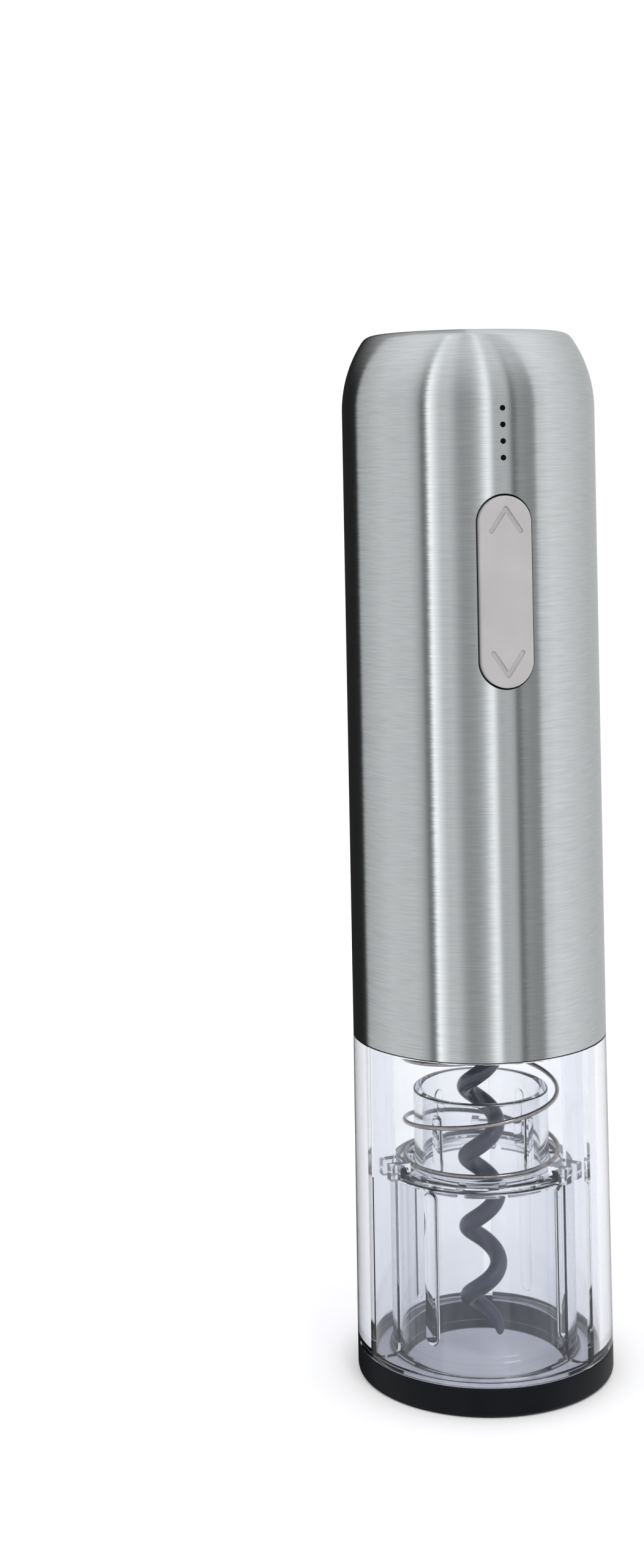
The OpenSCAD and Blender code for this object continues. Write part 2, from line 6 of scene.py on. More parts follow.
import bmesh
import bpy
import numpy as np
from mathutils import Matrix, Vector


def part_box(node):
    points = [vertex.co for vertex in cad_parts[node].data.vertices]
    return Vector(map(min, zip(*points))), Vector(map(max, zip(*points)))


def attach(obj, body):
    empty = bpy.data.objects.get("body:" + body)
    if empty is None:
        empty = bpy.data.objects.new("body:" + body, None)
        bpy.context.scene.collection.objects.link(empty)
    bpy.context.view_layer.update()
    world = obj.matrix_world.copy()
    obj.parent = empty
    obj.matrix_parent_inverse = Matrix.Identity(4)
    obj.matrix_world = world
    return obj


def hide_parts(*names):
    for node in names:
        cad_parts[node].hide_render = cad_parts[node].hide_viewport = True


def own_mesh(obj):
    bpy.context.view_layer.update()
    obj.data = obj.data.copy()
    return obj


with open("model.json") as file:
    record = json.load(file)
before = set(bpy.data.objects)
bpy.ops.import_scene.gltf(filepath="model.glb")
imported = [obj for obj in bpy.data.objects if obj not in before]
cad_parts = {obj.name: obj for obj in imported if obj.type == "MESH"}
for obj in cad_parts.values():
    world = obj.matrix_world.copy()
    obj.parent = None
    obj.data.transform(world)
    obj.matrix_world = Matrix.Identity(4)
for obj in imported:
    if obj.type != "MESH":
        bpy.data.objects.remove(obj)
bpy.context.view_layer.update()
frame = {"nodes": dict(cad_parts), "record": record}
NODES = frame["nodes"]
MM = 0.001


def top_of(node):
    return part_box(node)[1].z


def radius_of(node):
    """Outer radius of a node that is turned about the opener's axis."""
    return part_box(node)[1].x


# ---------------------------------------------------------------- mesh tools

def new_object(name, mesh):
    obj = bpy.data.objects.new(name, mesh)
    bpy.context.scene.collection.objects.link(obj)
    return obj


def mesh_object(name, points, faces):
    mesh = bpy.data.meshes.new(name)
    mesh.from_pydata([tuple(p) for p in points], [], [tuple(f) for f in faces])
    mesh.validate()
    return new_object(name, mesh)


def tidy(obj, sharp_deg=30.0):
    """Merges doubled points, turns faces outwards, and shades smooth up to an angle."""
    bm = bmesh.new()
    bm.from_mesh(obj.data)
    bmesh.ops.remove_doubles(bm, verts=bm.verts, dist=1e-7)
    bmesh.ops.dissolve_degenerate(bm, edges=bm.edges, dist=1e-8)
    bmesh.ops.recalc_face_normals(bm, faces=bm.faces)
    bm.to_mesh(obj.data)
    bm.free()
    obj.data.shade_smooth()
    obj.data.set_sharp_from_angle(angle=math.radians(sharp_deg))
    return obj


def lathe(name, profile, segments):
    """Solid of revolution about Z from a closed profile of (radius, height) points."""
    count = len(profile)
    points = []
    for s in range(segments):
        a = 2 * math.pi * s / segments
        points += [(r * math.cos(a), r * math.sin(a), z) for r, z in profile]
    faces = []
    for s in range(segments):
        t = (s + 1) % segments
        for i in range(count):
            j = (i + 1) % count
            if profile[i][0] < 1e-9 and profile[j][0] < 1e-9:
                continue
            faces.append((s * count + i, t * count + i, t * count + j, s * count + j))
    return tidy(mesh_object(name, points, faces))


def arc(centre, radius, start_deg, end_deg, steps):
    """Points of an arc in the (radius, height) plane."""
    out = []
    for i in range(steps + 1):
        a = math.radians(start_deg + (end_deg - start_deg) * i / steps)
        out.append((centre[0] + radius * math.cos(a), centre[1] + radius * math.sin(a)))
    return out


def rounded(corners, steps):
    """Closed profile from (radius, height, fillet) corners, each rounded by its own fillet."""
    out = []
    count = len(corners)
    for i, (r, z, fillet) in enumerate(corners):
        here = Vector((r, z))
        before = Vector(corners[i - 1][:2]) - here
        after = Vector(corners[(i + 1) % count][:2]) - here
        if fillet <= 0:
            out.append((r, z))
            continue
        half = before.angle(after) / 2
        reach = min(fillet / math.tan(half), 0.45 * before.length, 0.45 * after.length)
        start = here + before.normalized() * reach
        end = here + after.normalized() * reach
        for k in range(steps + 1):
            t = k / steps
            p = start * (1 - t) ** 2 + here * 2 * t * (1 - t) + end * t ** 2
            out.append((p.x, p.y))
    return out


def loft_faces(rings, sides):
    """Faces between neighbouring rings of points, and over both ends."""
    faces = [(i * sides + k, i * sides + (k + 1) % sides, (i + 1) * sides + (k + 1) % sides,
              (i + 1) * sides + k) for i in range(rings - 1) for k in range(sides)]
    return faces + [tuple(range(sides))[::-1], tuple((rings - 1) * sides + k for k in range(sides))]


def sweep(name, points, radii, spokes, sides):
    """Closed tube along points. Each spoke is a vector near that ring's first point."""
    pts = np.array(points, float)
    along = np.gradient(pts, axis=0)
    along /= np.linalg.norm(along, axis=1)[:, None]
    u = np.array(spokes, float)
    u -= (u * along).sum(1)[:, None] * along
    u /= np.linalg.norm(u, axis=1)[:, None]
    v = np.cross(along, u)
    a = 2 * np.pi * np.arange(sides) / sides
    rings = pts[:, None] + np.array(radii)[:, None, None] * (
        np.cos(a)[None, :, None] * u[:, None] + np.sin(a)[None, :, None] * v[:, None])
    return tidy(mesh_object(name, rings.reshape(-1, 3), loft_faces(len(pts), sides)), 50)


def slab(name, first, second):
    """Solid between two flat outlines of matching points."""
    n = len(first)
    faces = [tuple(range(n)), tuple(range(2 * n - 1, n - 1, -1))]
    faces += [(i, i + n, (i + 1) % n + n, (i + 1) % n) for i in range(n)]
    return tidy(mesh_object(name, first + second, faces))


def prism(name, outline, low, high):
    """Solid from a closed (x, z) outline between two y values."""
    return slab(name, [(x, low, z) for x, z in outline], [(x, high, z) for x, z in outline])


def pill_outline(width, height, steps):
    """Upright pill about (0, 0)."""
    r, straight = width / 2, (height - width) / 2
    top = [(p[0], p[1]) for p in arc((0, straight), r, 0, 180, steps)]
    bottom = [(p[0], p[1]) for p in arc((0, -straight), r, 180, 360, steps)]
    return top + bottom


def combine(obj, other, operation):
    """Applies a boolean with other, which is then removed."""
    mod = obj.modifiers.new("combine", "BOOLEAN")
    mod.object, mod.operation, mod.solver = other, operation, "EXACT"
    depsgraph = bpy.context.evaluated_depsgraph_get()
    made = bpy.data.meshes.new_from_object(obj.evaluated_get(depsgraph))
    obj.modifiers.clear()
    obj.data = made
    bpy.data.objects.remove(other)
    return obj


def moved(obj, offset=(0, 0, 0), turn_deg=0.0, axis="Z"):
    """Bakes an offset, and then a turn about an axis through the origin, into the mesh."""
    obj.data.transform(Matrix.Rotation(math.radians(turn_deg), 4, axis) @ Matrix.Translation(offset))
    return obj


def true_normals(obj, rule):
    """Sets corner normals from rule(point, face normal), which may return None to keep the usual one."""
    mesh = obj.data
    normals = [Vector(n.vector) for n in mesh.corner_normals]
    for face in mesh.polygons:
        for li in face.loop_indices:
            exact = rule(mesh.vertices[mesh.loops[li].vertex_index].co, face.normal)
            if exact is not None:
                normals[li] = exact
    mesh.normals_split_custom_set([tuple(n) for n in normals])


def radial_rule(point, normal):
    """Exact normal on walls that are turned about Z and nearly upright."""
    if abs(normal.z) > 0.35:
        return None
    out = Vector((point.x, point.y, 0))
    if out.length < 2 * MM:
        return None
    out.normalize()
    flat = Vector((normal.x, normal.y, 0))
    lean = flat.normalized().dot(out)
    if abs(lean) < 0.996:
        return None
    side = out if lean > 0 else -out
    return (side * flat.length + Vector((0, 0, normal.z))).normalized()


# ---------------------------------------------------------------- material tools

def start_material(name):
    mat = bpy.data.materials.new(name)
    mat.use_nodes = True
    nodes = mat.node_tree.nodes
    return mat, nodes, mat.node_tree.links, nodes["Principled BSDF"]


def add(nodes, kind, values=None, **props):
    node = nodes.new(kind)
    for key, value in props.items():
        setattr(node, key, value)
    for key, value in (values or {}).items():
        node.inputs[key].default_value = value
    return node


def mapped(nodes, links, scale):
    """Object coordinates, scaled per axis in features per metre."""
    coord = add(nodes, "ShaderNodeTexCoord")
    mapping = add(nodes, "ShaderNodeMapping", {"Scale": scale})
    links.new(coord.outputs["Object"], mapping.inputs["Vector"])
    return mapping.outputs["Vector"]


def noise(nodes, links, vector, detail, rough):
    node = add(nodes, "ShaderNodeTexNoise", {"Scale": 1.0, "Detail": detail, "Roughness": rough})
    links.new(vector, node.inputs["Vector"])
    return node.outputs["Fac"]


def ramp(nodes, links, value, stops):
    """Colour ramp through (position, colour) stops."""
    node = add(nodes, "ShaderNodeValToRGB")
    while len(node.color_ramp.elements) < len(stops):
        node.color_ramp.elements.new(0.5)
    for element, (position, colour) in zip(node.color_ramp.elements, stops):
        element.position = position
        element.color = (*colour, 1) if len(colour) == 3 else colour
    links.new(value, node.inputs["Fac"])
    return node.outputs["Color"]


def span(nodes, links, value, low, high):
    node = add(nodes, "ShaderNodeMapRange", {"To Min": low, "To Max": high})
    links.new(value, node.inputs["Value"])
    return node.outputs["Result"]


def bump(nodes, links, bsdf, height, strength, distance):
    node = add(nodes, "ShaderNodeBump", {"Strength": strength, "Distance": distance})
    links.new(height, node.inputs["Height"])
    links.new(node.outputs["Normal"], bsdf.inputs["Normal"])


def brushed(nodes, links, around, across, detail, rough):
    """Streaks that run round Z: features per radian around, and per metre along Z and outwards."""
    coord = add(nodes, "ShaderNodeTexCoord").outputs["Object"]
    flat = add(nodes, "ShaderNodeVectorMath", {1: (1, 1, 0)}, operation="MULTIPLY")
    links.new(coord, flat.inputs[0])
    heading = add(nodes, "ShaderNodeVectorMath", operation="NORMALIZE")
    links.new(flat.outputs["Vector"], heading.inputs[0])
    turned = add(nodes, "ShaderNodeVectorMath", {1: (around, around, 0)}, operation="MULTIPLY")
    links.new(heading.outputs["Vector"], turned.inputs[0])
    upright = add(nodes, "ShaderNodeVectorMath", {1: (0, 0, across)}, operation="MULTIPLY")
    links.new(coord, upright.inputs[0])
    place = add(nodes, "ShaderNodeVectorMath", operation="ADD")
    links.new(turned.outputs["Vector"], place.inputs[0])
    links.new(upright.outputs["Vector"], place.inputs[1])
    radius = add(nodes, "ShaderNodeVectorMath", operation="LENGTH")
    links.new(flat.outputs["Vector"], radius.inputs[0])
    outwards = add(nodes, "ShaderNodeMath", {1: across}, operation="MULTIPLY")
    links.new(radius.outputs["Value"], outwards.inputs[0])
    node = add(nodes, "ShaderNodeTexNoise", {"Scale": 1.0, "Detail": detail, "Roughness": rough},
               noise_dimensions="4D")
    links.new(place.outputs["Vector"], node.inputs["Vector"])
    links.new(outwards.outputs[0], node.inputs["W"])
    return node.outputs["Fac"]


def brushed_steel():
    """Steel sheet brushed round its circumference: each streak leans its normal a little sideways."""
    mat, nodes, links, bsdf = start_material("brushed_steel")
    bsdf.inputs["Metallic"].default_value = 1.0
    bsdf.inputs["Anisotropic"].default_value = 0.8
    bsdf.inputs["Anisotropic Rotation"].default_value = 0.25
    tangent = add(nodes, "ShaderNodeTangent", direction_type="RADIAL", axis="Z").outputs["Tangent"]
    links.new(tangent, bsdf.inputs["Tangent"])
    fine = brushed(nodes, links, 5, 5500, 4, 0.6)
    broad = brushed(nodes, links, 1.5, 700, 3, 0.6)
    links.new(ramp(nodes, links, fine, [
        (0.30, (0.555, 0.58, 0.592)), (0.50, (0.62, 0.648, 0.66)), (0.72, (0.69, 0.716, 0.728))]),
        bsdf.inputs["Base Color"])
    links.new(span(nodes, links, broad, 0.15, 0.22), bsdf.inputs["Roughness"])
    lean = add(nodes, "ShaderNodeVectorMath", operation="SCALE")
    links.new(tangent, lean.inputs[0])
    links.new(span(nodes, links, fine, -0.016, 0.016), lean.inputs["Scale"])
    total = add(nodes, "ShaderNodeVectorMath", operation="ADD")
    links.new(add(nodes, "ShaderNodeNewGeometry").outputs["Normal"], total.inputs[0])
    links.new(lean.outputs["Vector"], total.inputs[1])
    unit = add(nodes, "ShaderNodeVectorMath", operation="NORMALIZE")
    links.new(total.outputs["Vector"], unit.inputs[0])
    links.new(unit.outputs["Vector"], bsdf.inputs["Normal"])
    return mat


def clear_plastic():
    """Clear moulded acrylic with a cool tint, deeper where it is seen edge-on. Lamp light passes."""
    mat, nodes, links, bsdf = start_material("clear_plastic")
    bsdf.inputs["Transmission Weight"].default_value = 1.0
    bsdf.inputs["IOR"].default_value = 1.49
    bsdf.inputs["Roughness"].default_value = 0.035
    bsdf.inputs["Specular Tint"].default_value = (0.55, 0.56, 0.64, 1)
    flow = noise(nodes, links, mapped(nodes, links, (90, 90, 25)), 2, 0.5)
    edge_on = add(nodes, "ShaderNodeLayerWeight", {"Blend": 0.35}).outputs["Facing"]
    tint = add(nodes, "ShaderNodeMix", data_type="RGBA")
    links.new(edge_on, tint.inputs["Factor"])
    face_on_tint = [(0.3, (0.914, 0.924, 0.949)), (0.7, (0.932, 0.939, 0.958))]
    edge_on_tint = [(0.3, (0.60, 0.63, 0.72)), (0.7, (0.70, 0.72, 0.79))]
    links.new(ramp(nodes, links, flow, face_on_tint), tint.inputs[6])
    links.new(ramp(nodes, links, flow, edge_on_tint), tint.inputs[7])
    links.new(tint.outputs[2], bsdf.inputs["Base Color"])
    bump(nodes, links, bsdf, flow, 0.06, 0.2 * MM)
    lamp_side = add(nodes, "ShaderNodeBsdfTransparent", {"Color": (0.88, 0.88, 0.92, 1)})
    chosen = add(nodes, "ShaderNodeMixShader")
    links.new(add(nodes, "ShaderNodeLightPath").outputs["Is Shadow Ray"], chosen.inputs["Fac"])
    links.new(bsdf.outputs["BSDF"], chosen.inputs[1])
    links.new(lamp_side.outputs["BSDF"], chosen.inputs[2])
    links.new(chosen.outputs["Shader"], nodes["Material Output"].inputs["Surface"])
    return mat


def moulded(name, dark, light, roughness, grain=2500, strength=0.12, specular=0.5):
    """Moulded plastic or rubber with a fine grain and slight tone changes."""
    mat, nodes, links, bsdf = start_material(name)
    bsdf.inputs["Specular IOR Level"].default_value = specular
    tone = noise(nodes, links, mapped(nodes, links, (120, 120, 120)), 3, 0.55)
    links.new(ramp(nodes, links, tone, [(0.3, dark), (0.7, light)]), bsdf.inputs["Base Color"])
    fine = noise(nodes, links, mapped(nodes, links, (grain, grain, grain)), 2, 0.5)
    links.new(span(nodes, links, fine, roughness - 0.04, roughness + 0.05), bsdf.inputs["Roughness"])
    bump(nodes, links, bsdf, fine, strength, 0.02 * MM)
    return mat


def metal(name, dark, light, roughness):
    """Plain metal with faint tool marks."""
    mat, nodes, links, bsdf = start_material(name)
    bsdf.inputs["Metallic"].default_value = 1.0
    marks = noise(nodes, links, mapped(nodes, links, (900, 900, 900)), 4, 0.6)
    links.new(ramp(nodes, links, marks, [(0.3, dark), (0.7, light)]), bsdf.inputs["Base Color"])
    links.new(span(nodes, links, marks, roughness - 0.05, roughness + 0.07), bsdf.inputs["Roughness"])
    bump(nodes, links, bsdf, marks, 0.08, 0.02 * MM)
    return mat


def worm_coating():
    """Dark bluish non-stick coating on the steel worm, glossier where it stays out of the cork."""
    mat, nodes, links, bsdf = start_material("worm_coating")
    bsdf.inputs["Specular IOR Level"].default_value = 0.9
    bsdf.inputs["Specular Tint"].default_value = (0.72, 0.80, 1.0, 1)
    speck = noise(nodes, links, mapped(nodes, links, (500, 500, 500)), 3, 0.5)
    links.new(ramp(nodes, links, speck, [
        (0.30, (0.009, 0.010, 0.018)), (0.60, (0.012, 0.013, 0.023)), (0.80, (0.016, 0.018, 0.030))]),
        bsdf.inputs["Base Color"])
    split = add(nodes, "ShaderNodeSeparateXYZ")
    links.new(add(nodes, "ShaderNodeTexCoord").outputs["Object"], split.inputs[0])
    matt, glossy = 0.42, 0.16
    gloss = add(nodes, "ShaderNodeMapRange", {
        "From Min": 38 * MM, "From Max": 52 * MM, "To Min": matt, "To Max": glossy},
        interpolation_type="SMOOTHSTEP")
    links.new(split.outputs["Z"], gloss.inputs["Value"])
    links.new(gloss.outputs["Result"], bsdf.inputs["Roughness"])
    return mat


def plain_floor():
    mat, nodes, links, bsdf = start_material("pale_floor")
    bsdf.inputs["Roughness"].default_value = 0.6
    tone = noise(nodes, links, mapped(nodes, links, (3, 3, 3)), 2, 0.5)
    links.new(ramp(nodes, links, tone, [(0.3, (0.86, 0.86, 0.865)), (0.7, (0.88, 0.88, 0.885))]),
              bsdf.inputs["Base Color"])
    return mat


STEEL = brushed_steel()
CLEAR = clear_plastic()
BLACK_RING = moulded("black_ring", (0.0032, 0.0038, 0.006), (0.0048, 0.0056, 0.0085), 0.45, specular=0.14)
DARK_PLASTIC = moulded("dark_plastic", (0.018, 0.018, 0.02), (0.03, 0.03, 0.033), 0.5)
LIGHT_GUIDE = moulded("light_guide", (0.001, 0.001, 0.0015), (0.002, 0.002, 0.0025), 0.3,
                      strength=0.02, specular=0.1)
BUTTON = moulded("button_paint", (0.380, 0.369, 0.372), (0.424, 0.412, 0.415), 0.40, 3500, 0.12)
PALE_NYLON = moulded("pale_nylon", (0.62, 0.60, 0.53), (0.70, 0.68, 0.61), 0.45)
BOARD = moulded("board", (0.012, 0.085, 0.03), (0.02, 0.12, 0.045), 0.35, 700, 0.2)
RED_WIRE = moulded("wire_sleeve", (0.35, 0.012, 0.012), (0.45, 0.02, 0.018), 0.4)
CELL_WRAP = moulded("cell_wrap", (0.012, 0.06, 0.2), (0.018, 0.08, 0.26), 0.3)
SPRING_STEEL = metal("spring_steel", (0.24, 0.22, 0.21), (0.40, 0.37, 0.355), 0.17)
PLATED = metal("plated_steel", (0.55, 0.56, 0.58), (0.70, 0.71, 0.73), 0.26)
BRONZE = metal("bronze", (0.52, 0.33, 0.14), (0.68, 0.46, 0.21), 0.34)
WORM_COAT = worm_coating()

LOOKS = {
    "clear_plastic": CLEAR, "black_ring": BLACK_RING, "brushed_steel": STEEL, "spring_steel": SPRING_STEEL,
    "coated_steel": WORM_COAT, "button_plastic": BUTTON, "dark_plastic": DARK_PLASTIC,
    "light_guide_plastic": LIGHT_GUIDE, "pale_nylon": PALE_NYLON, "bronze": BRONZE, "plated_steel": PLATED,
    "board": BOARD, "wire_sleeve": RED_WIRE, "cell_wrap": CELL_WRAP,
}
SLOT_OF = {s["node"]: s["material_slot"] for s in frame["record"]["subparts"]}


def dress(obj, slot):
    obj.data.materials.clear()
    obj.data.materials.append(LOOKS[slot])


for node_name, node_object in NODES.items():
    dress(node_object, SLOT_OF[node_name])
    node_object.data.shade_smooth()
    node_object.data.set_sharp_from_angle(angle=math.radians(30))


def stand_for(obj, body, *nodes):
    """obj rides on body in place of the CAD nodes, in their material."""
    slot = SLOT_OF[nodes[0]]
    dress(obj, slot)
    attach(obj, body)
    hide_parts(*nodes)
    return obj


# ---------------------------------------------------------------- steel shell

SHELL_R = radius_of("steel_shell")
SHELL_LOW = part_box("steel_shell")[0].z
SHELL_TOP = top_of("steel_shell")
SHOULDER_DROP = 13.8 * MM
SHOULDER_Z = SHELL_TOP - SHOULDER_DROP
SHEET = 0.5 * MM
BUTTON_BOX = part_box("rocker_button")
BUTTON_W = BUTTON_BOX[1].x - BUTTON_BOX[0].x
BUTTON_H = BUTTON_BOX[1].z - BUTTON_BOX[0].z
BUTTON_Z = (BUTTON_BOX[1].z + BUTTON_BOX[0].z) / 2
BUTTON_GAP = 0.35 * MM
LED_R = 0.5 * MM
LED_COUNT = 4
LED_FIRST = 164.5 * MM
LED_PITCH = 2.85 * MM
SOCKET_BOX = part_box("charge_socket")


def shell_profile():
    """Straight sleeve, ball-shaped shoulder, and a flat top with a softened corner."""
    inner = SHELL_R - SHEET
    corner = math.degrees(math.asin((SHELL_TOP - SHOULDER_Z) / SHELL_R))
    corner_in = math.degrees(math.asin((SHELL_TOP - SHEET - SHOULDER_Z) / inner))
    edge = SHELL_R * math.cos(math.radians(corner))
    soften, chamfer = 1.6 * MM, 0.12 * MM
    outside = [(SHELL_R - chamfer, SHELL_LOW), (SHELL_R, SHELL_LOW + chamfer)]
    outside += arc((0, SHOULDER_Z), SHELL_R, 0, corner - 3.4, 26)
    start, end = Vector(outside[-1]), Vector((edge - soften, SHELL_TOP))
    hinge = Vector((edge, SHELL_TOP))
    bend = [start * (1 - t) ** 2 + hinge * 2 * t * (1 - t) + end * t ** 2 for t in (0.2, 0.4, 0.6, 0.8, 1)]
    outside += [(p.x, p.y) for p in bend] + [(share * edge, SHELL_TOP) for share in (0.6, 0.3, 0)]
    inside = [(0, SHELL_TOP - SHEET)] + arc((0, SHOULDER_Z), inner, corner_in, 0, 16)
    return outside + inside + [(inner, SHELL_LOW + 0.1 * MM), (inner + 0.1 * MM, SHELL_LOW)]


def shell_rule(point, normal):
    """Exact normals on the sleeve and the ball-shaped shoulder, and flat ones on the top."""
    upright = radial_rule(point, normal)
    if point.z <= SHOULDER_Z + 1e-6:
        return upright
    if normal.z > 0.98:
        return Vector((0, 0, 1))
    out = Vector((point.x, point.y, point.z - SHOULDER_Z))
    if abs(out.length - SHELL_R) < 0.02 * MM and normal.dot(out.normalized()) > 0.99:
        return out.normalized()
    return None


shell = lathe("steel_shell_skin", shell_profile(), 256)
slot_cut = prism("cut", pill_outline(BUTTON_W + 2 * BUTTON_GAP, BUTTON_H + 2 * BUTTON_GAP, 32),
                 -SHELL_R - MM, -SHELL_R + 4 * MM)
combine(shell, moved(slot_cut, (0, 0, BUTTON_Z)), "DIFFERENCE")
for led in range(LED_COUNT):
    hole = prism("cut", pill_outline(2 * LED_R, 2.001 * LED_R, 12), -SHELL_R - MM, -SHELL_R + 3 * MM)
    combine(shell, moved(hole, (0, 0, LED_FIRST + LED_PITCH * led)), "DIFFERENCE")
PORT_GAP = 0.2 * MM
port_w = SOCKET_BOX[1].x - SOCKET_BOX[0].x + 2 * PORT_GAP
port_t = SOCKET_BOX[1].y - SOCKET_BOX[0].y + 2 * PORT_GAP
port = prism("cut", [(z, x) for x, z in pill_outline(port_t, port_w, 16)][::-1], -MM, MM)
port.data.transform(Matrix.Rotation(math.radians(90), 4, "X"))
moved(port, (0, (SOCKET_BOX[1].y + SOCKET_BOX[0].y) / 2, SHELL_TOP))
combine(shell, port, "DIFFERENCE")
tidy(shell, 24)
true_normals(shell, shell_rule)
stand_for(shell, "motor_unit", "steel_shell")


# ---------------------------------------------------------------- rocker button

FACE_Y = BUTTON_BOX[0].y
CROWN_R = 42 * MM
ARROW_POINT = 14.3 * MM
ARROW_DEPTH = 0.32 * MM


def crown_y(x):
    """The face's height, as a shallow crown across its width."""
    return FACE_Y + CROWN_R - math.sqrt(CROWN_R ** 2 - x ** 2)


def button_body():
    """Pill with a crowned face and a rounded rim, lofted from its outline inwards."""
    steps, rim = 40, 0.32 * MM
    back = -20.8 * MM
    outline = pill_outline(BUTTON_W, BUTTON_H, steps)
    straight = (BUTTON_H - BUTTON_W) / 2
    rings = [[(x, back, z) for x, z in outline]]

    def inset(by, drop):
        ring = []
        for x, z in outline:
            cz = max(-straight, min(straight, z))
            scale = (BUTTON_W / 2 - by) / (BUTTON_W / 2)
            px, pz = x * scale, cz + (z - cz) * scale
            ring.append((px, crown_y(px) + drop, pz))
        return ring

    for k in range(7):
        a = math.pi / 2 * k / 6
        rings.append(inset(rim * (1 - math.cos(a)), rim * (1 - math.sin(a))))
    for by in np.linspace(rim * 1.5, BUTTON_W / 2 * 0.97, 12):
        rings.append(inset(by, 0))
    points = [p for ring in rings for p in ring]
    return tidy(mesh_object("rocker_button_skin", points, loft_faces(len(rings), len(outline))))


def chevron(point_z, direction):
    """Cutter for one arrow: two round-ended strokes that meet in a point."""
    stroke_w, stroke_l, lean = 0.85 * MM, 5.5 * MM, 34
    both = None
    for side in (-1, 1):
        stroke = prism("cut", pill_outline(stroke_w, stroke_l, 10), FACE_Y - MM, FACE_Y + ARROW_DEPTH)
        moved(stroke, (0, 0, -direction * (stroke_l - stroke_w) / 2))
        moved(stroke, (0, 0, 0), side * lean, "Y")
        both = stroke if both is None else combine(both, stroke, "UNION")
    return moved(both, (0, 0, point_z))


button = button_body()
for direction in (1, -1):
    combine(button, chevron(direction * ARROW_POINT, direction), "DIFFERENCE")
moved(button, (0, 0, BUTTON_Z))
tidy(button, 28)
stand_for(button, "rocker", "rocker_button")


# ---------------------------------------------------------------- clear housing

FOOT_R = radius_of("base_ring")
RING_TOP = top_of("base_ring")
SPIGOT_TOP = top_of("clear_housing")
SPIGOT_R = SHELL_R - SHEET - 0.15 * MM
SEAM = 0.05 * MM
WALL_IN = 20.8 * MM
FLOOR_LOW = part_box("clear_housing")[0].z
FLOOR_HIGH = 5 * MM
RING_WALL = 1.3 * MM
LIP_REACH = 2.7 * MM
NECK_R = 15.2 * MM
NECK_TUBE_R = 17 * MM
NECK_TUBE_TOP = 36.5 * MM
RAIL_W = 1.8 * MM
RAIL_R = 17.2 * MM
RAIL_TOP = 71 * MM
RAIL_ANGLES = [42 + 120 * i for i in range(3)]
PAD_ANGLES = [-49 + 90 * i for i in range(4)]
PAD_LOW = 8.5 * MM
PAD_HIGH = 35.9 * MM
PAD_R = 14.6 * MM
PAD_W = 3.2 * MM


def at_azimuth(obj, angle_deg):
    """Turns a piece made at -Y by an azimuth towards +X."""
    return moved(obj, turn_deg=angle_deg)


def housing_profile():
    foot_in = FOOT_R - RING_WALL
    return rounded([
        (NECK_R, FLOOR_LOW, 0.3 * MM), (foot_in, FLOOR_LOW, 0.2 * MM),
        (foot_in, RING_TOP + SEAM, 0.15 * MM), (FOOT_R, RING_TOP + SEAM, 0.2 * MM),
        (SHELL_R, SHELL_LOW - SEAM, 0.2 * MM), (SPIGOT_R, SHELL_LOW - SEAM, 0.15 * MM),
        (SPIGOT_R, SPIGOT_TOP, 0.3 * MM), (WALL_IN, SPIGOT_TOP, 0.3 * MM),
        (WALL_IN, FLOOR_HIGH, 1.2 * MM), (NECK_TUBE_R, FLOOR_HIGH, 1.2 * MM),
        (NECK_TUBE_R, NECK_TUBE_TOP, 0.35 * MM), (NECK_R, NECK_TUBE_TOP, 0.35 * MM)], 6)


def rail(angle):
    """Rib that joins the neck tube to the outer wall and runs on up to the spring's retainer."""
    root = 0.2 * MM
    outline = [
        (NECK_TUBE_R - root, FLOOR_HIGH - root), (WALL_IN + root, FLOOR_HIGH - root),
        (WALL_IN + root, RAIL_TOP), (RAIL_R, RAIL_TOP), (RAIL_R, NECK_TUBE_TOP - 0.3 * MM),
        (NECK_TUBE_R - root, NECK_TUBE_TOP - 0.3 * MM)]
    piece = prism("rail", outline, -RAIL_W / 2, RAIL_W / 2)
    return at_azimuth(moved(piece, turn_deg=-90), angle)


def round_rib(width, low, high, nose, back):
    """Upright rib with a rounded section and ends, between two radii at -Y."""
    half = width / 2
    profile = [(0, low)] + arc((0, low + half), half, -90, 0, 8)[1:] + arc((0, high - half), half, 0, 90, 8)
    profile[-1] = (0, high)
    rib = lathe("rib", profile, 40)
    rib.data.transform(Matrix.Diagonal((1, (back - nose) / width, 1, 1)))
    return moved(rib, (0, -(nose + back) / 2, 0))


housing = lathe("clear_housing_skin", housing_profile(), 224)
for rail_angle in RAIL_ANGLES:
    combine(housing, rail(rail_angle), "UNION")
pads = None
for pad_angle in PAD_ANGLES:
    pad = at_azimuth(round_rib(PAD_W, PAD_LOW, PAD_HIGH, PAD_R, NECK_TUBE_R - 0.15 * MM), pad_angle)
    pads = pad if pads is None else combine(pads, pad, "UNION")
combine(housing, pads, "UNION")
tidy(housing, 28)
true_normals(housing, radial_rule)
stand_for(housing, "housing", "clear_housing")


# ---------------------------------------------------------------- base ring

ring_in = FOOT_R - RING_WALL + SEAM
ring_profile = rounded([
    (FOOT_R - LIP_REACH, 0, 0.1 * MM), (FOOT_R, 0, 0.9 * MM), (FOOT_R, RING_TOP, 0.3 * MM),
    (ring_in, RING_TOP, 0.1 * MM), (ring_in, FLOOR_LOW - SEAM, 0),
    (FOOT_R - LIP_REACH, FLOOR_LOW - SEAM, 0.1 * MM)], 6)
stand_for(lathe("base_ring_skin", ring_profile, 192), "housing", "base_ring")


# ---------------------------------------------------------------- cork sleeve

